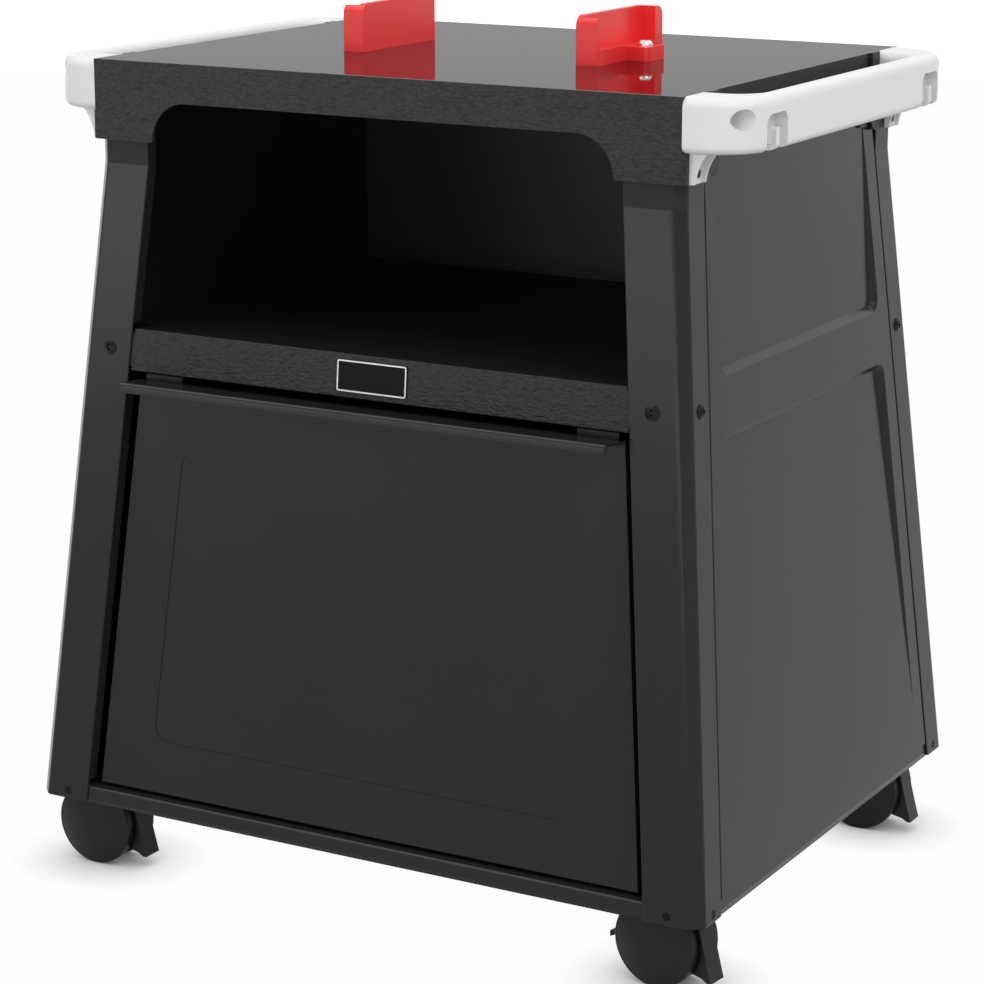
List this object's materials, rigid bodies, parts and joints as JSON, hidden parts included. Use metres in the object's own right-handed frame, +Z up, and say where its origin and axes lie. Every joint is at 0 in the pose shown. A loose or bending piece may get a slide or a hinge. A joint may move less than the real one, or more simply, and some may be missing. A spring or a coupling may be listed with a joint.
{
  "type": "grill stand",
  "caption": "Grill stand cabinet on casters with an open compartment, a drop-front door, side handles and red lock brackets on its flat top.",
  "frame": {"origin": "on the floor under the middle of the stand", "axes": "+Z up; the door and compartment face -Y; +X is to the right of someone facing the door's outside"},
  "size_m": [0.656, 0.517, 0.756],
  "materials": {
    "charcoal_paint": "satin",
    "grain_plastic": "leather grain",
    "gloss_black_paint": "gloss",
    "pale_handle_plastic": "satin",
    "red_plastic": "gloss",
    "bright_steel": "polished",
    "black_screw_steel": "satin",
    "caster_plastic": "satin",
    "magnet_black": "matte"
  },
  "bodies": {
    "stand": {"back_panel": "charcoal_paint", "badge_plate": "magnet_black", "base_panel": "charcoal_paint", "foot_screws": "black_screw_steel", "front_apron": "grain_plastic", "front_left_caster_stem": "bright_steel", "front_left_leg": "charcoal_paint", "front_rail": "grain_plastic", "front_right_caster_stem": "bright_steel", "front_right_leg": "charcoal_paint", "handle_screws": "black_screw_steel", "hinge_brackets": "charcoal_paint", "left_cross_rail": "charcoal_paint", "left_handle": "pale_handle_plastic", "left_liner_wall": "gloss_black_paint", "left_lock_bracket": "red_plastic", "left_side_panel": "charcoal_paint", "leg_screws": "black_screw_steel", "liner_back": "gloss_black_paint", "lock_screws": "bright_steel", "magnet_catches": "magnet_black", "rear_apron": "grain_plastic", "rear_left_caster_stem": "bright_steel", "rear_left_leg": "charcoal_paint", "rear_rail": "charcoal_paint", "rear_right_caster_stem": "bright_steel", "rear_right_leg": "charcoal_paint", "right_cross_rail": "charcoal_paint", "right_handle": "pale_handle_plastic", "right_liner_wall": "gloss_black_paint", "right_lock_bracket": "red_plastic", "right_side_panel": "charcoal_paint", "shelf": "gloss_black_paint", "tabletop": "gloss_black_paint"},
    "door": {"door": "charcoal_paint", "hinge_pins": "bright_steel", "strike_plates": "black_screw_steel"},
    "front_right_swivel": {"front_right_caster_hood": "caster_plastic", "front_right_caster_axle": "bright_steel"},
    "front_right_front_wheel": {"front_right_caster_front_wheel": "caster_plastic"},
    "front_right_rear_wheel": {"front_right_caster_rear_wheel": "caster_plastic"},
    "front_right_brake_lever": {"front_right_brake_lever": "caster_plastic"},
    "front_left_swivel": {"front_left_caster_hood": "caster_plastic", "front_left_caster_axle": "bright_steel"},
    "front_left_front_wheel": {"front_left_caster_front_wheel": "caster_plastic"},
    "front_left_rear_wheel": {"front_left_caster_rear_wheel": "caster_plastic"},
    "rear_right_swivel": {"rear_right_caster_hood": "caster_plastic", "rear_right_caster_axle": "bright_steel"},
    "rear_right_front_wheel": {"rear_right_caster_front_wheel": "caster_plastic"},
    "rear_right_rear_wheel": {"rear_right_caster_rear_wheel": "caster_plastic"},
    "rear_right_brake_lever": {"rear_right_brake_lever": "caster_plastic"},
    "rear_left_swivel": {"rear_left_caster_hood": "caster_plastic", "rear_left_caster_axle": "bright_steel"},
    "rear_left_front_wheel": {"rear_left_caster_front_wheel": "caster_plastic"},
    "rear_left_rear_wheel": {"rear_left_caster_rear_wheel": "caster_plastic"}
  },
  "joints": [
    {"name": "door_hinge", "type": "hinge", "parent": "stand", "child": "door", "pos_m": [0, -0.24005, 0.09657], "axis": [1, 0, 0], "range_deg": [0, 90]},
    {"name": "front_right_swivel", "type": "hinge", "parent": "stand", "child": "front_right_swivel", "pos_m": [0.279, -0.208, 0.07], "axis": [0, 0, 1], "continuous": true},
    {"name": "front_right_front_wheel_spin", "type": "hinge", "parent": "front_right_swivel", "child": "front_right_front_wheel", "pos_m": [0.26907, -0.20678, 0.0375], "axis": [0.1219, 0.9925, 0], "continuous": true},
    {"name": "front_right_rear_wheel_spin", "type": "hinge", "parent": "front_right_swivel", "child": "front_right_rear_wheel", "pos_m": [0.26907, -0.20678, 0.0375], "axis": [0.1219, 0.9925, 0], "continuous": true},
    {"name": "front_right_brake_press", "type": "hinge", "parent": "front_right_swivel", "child": "front_right_brake_lever", "pos_m": [0.25319, -0.20483, 0.0475], "axis": [0.1219, 0.9925, 0], "range_deg": [0, 14]},
    {"name": "front_left_swivel", "type": "hinge", "parent": "stand", "child": "front_left_swivel", "pos_m": [-0.279, -0.208, 0.07], "axis": [0, 0, 1], "continuous": true},
    {"name": "front_left_front_wheel_spin", "type": "hinge", "parent": "front_left_swivel", "child": "front_left_front_wheel", "pos_m": [-0.289, -0.208, 0.0375], "axis": [0, 1, 0], "continuous": true},
    {"name": "front_left_rear_wheel_spin", "type": "hinge", "parent": "front_left_swivel", "child": "front_left_rear_wheel", "pos_m": [-0.289, -0.208, 0.0375], "axis": [0, 1, 0], "continuous": true},
    {"name": "rear_right_swivel", "type": "hinge", "parent": "stand", "child": "rear_right_swivel", "pos_m": [0.279, 0.208, 0.07], "axis": [0, 0, 1], "continuous": true},
    {"name": "rear_right_front_wheel_spin", "type": "hinge", "parent": "rear_right_swivel", "child": "rear_right_front_wheel", "pos_m": [0.269, 0.208, 0.0375], "axis": [0, 1, 0], "continuous": true},
    {"name": "rear_right_rear_wheel_spin", "type": "hinge", "parent": "rear_right_swivel", "child": "rear_right_rear_wheel", "pos_m": [0.269, 0.208, 0.0375], "axis": [0, 1, 0], "continuous": true},
    {"name": "rear_right_brake_press", "type": "hinge", "parent": "rear_right_swivel", "child": "rear_right_brake_lever", "pos_m": [0.253, 0.208, 0.0475], "axis": [0, 1, 0], "range_deg": [0, 14]},
    {"name": "rear_left_swivel", "type": "hinge", "parent": "stand", "child": "rear_left_swivel", "pos_m": [-0.279, 0.208, 0.07], "axis": [0, 0, 1], "continuous": true},
    {"name": "rear_left_front_wheel_spin", "type": "hinge", "parent": "rear_left_swivel", "child": "rear_left_front_wheel", "pos_m": [-0.289, 0.208, 0.0375], "axis": [0, 1, 0], "continuous": true},
    {"name": "rear_left_rear_wheel_spin", "type": "hinge", "parent": "rear_left_swivel", "child": "rear_left_rear_wheel", "pos_m": [-0.289, 0.208, 0.0375], "axis": [0, 1, 0], "continuous": true}
  ]
}
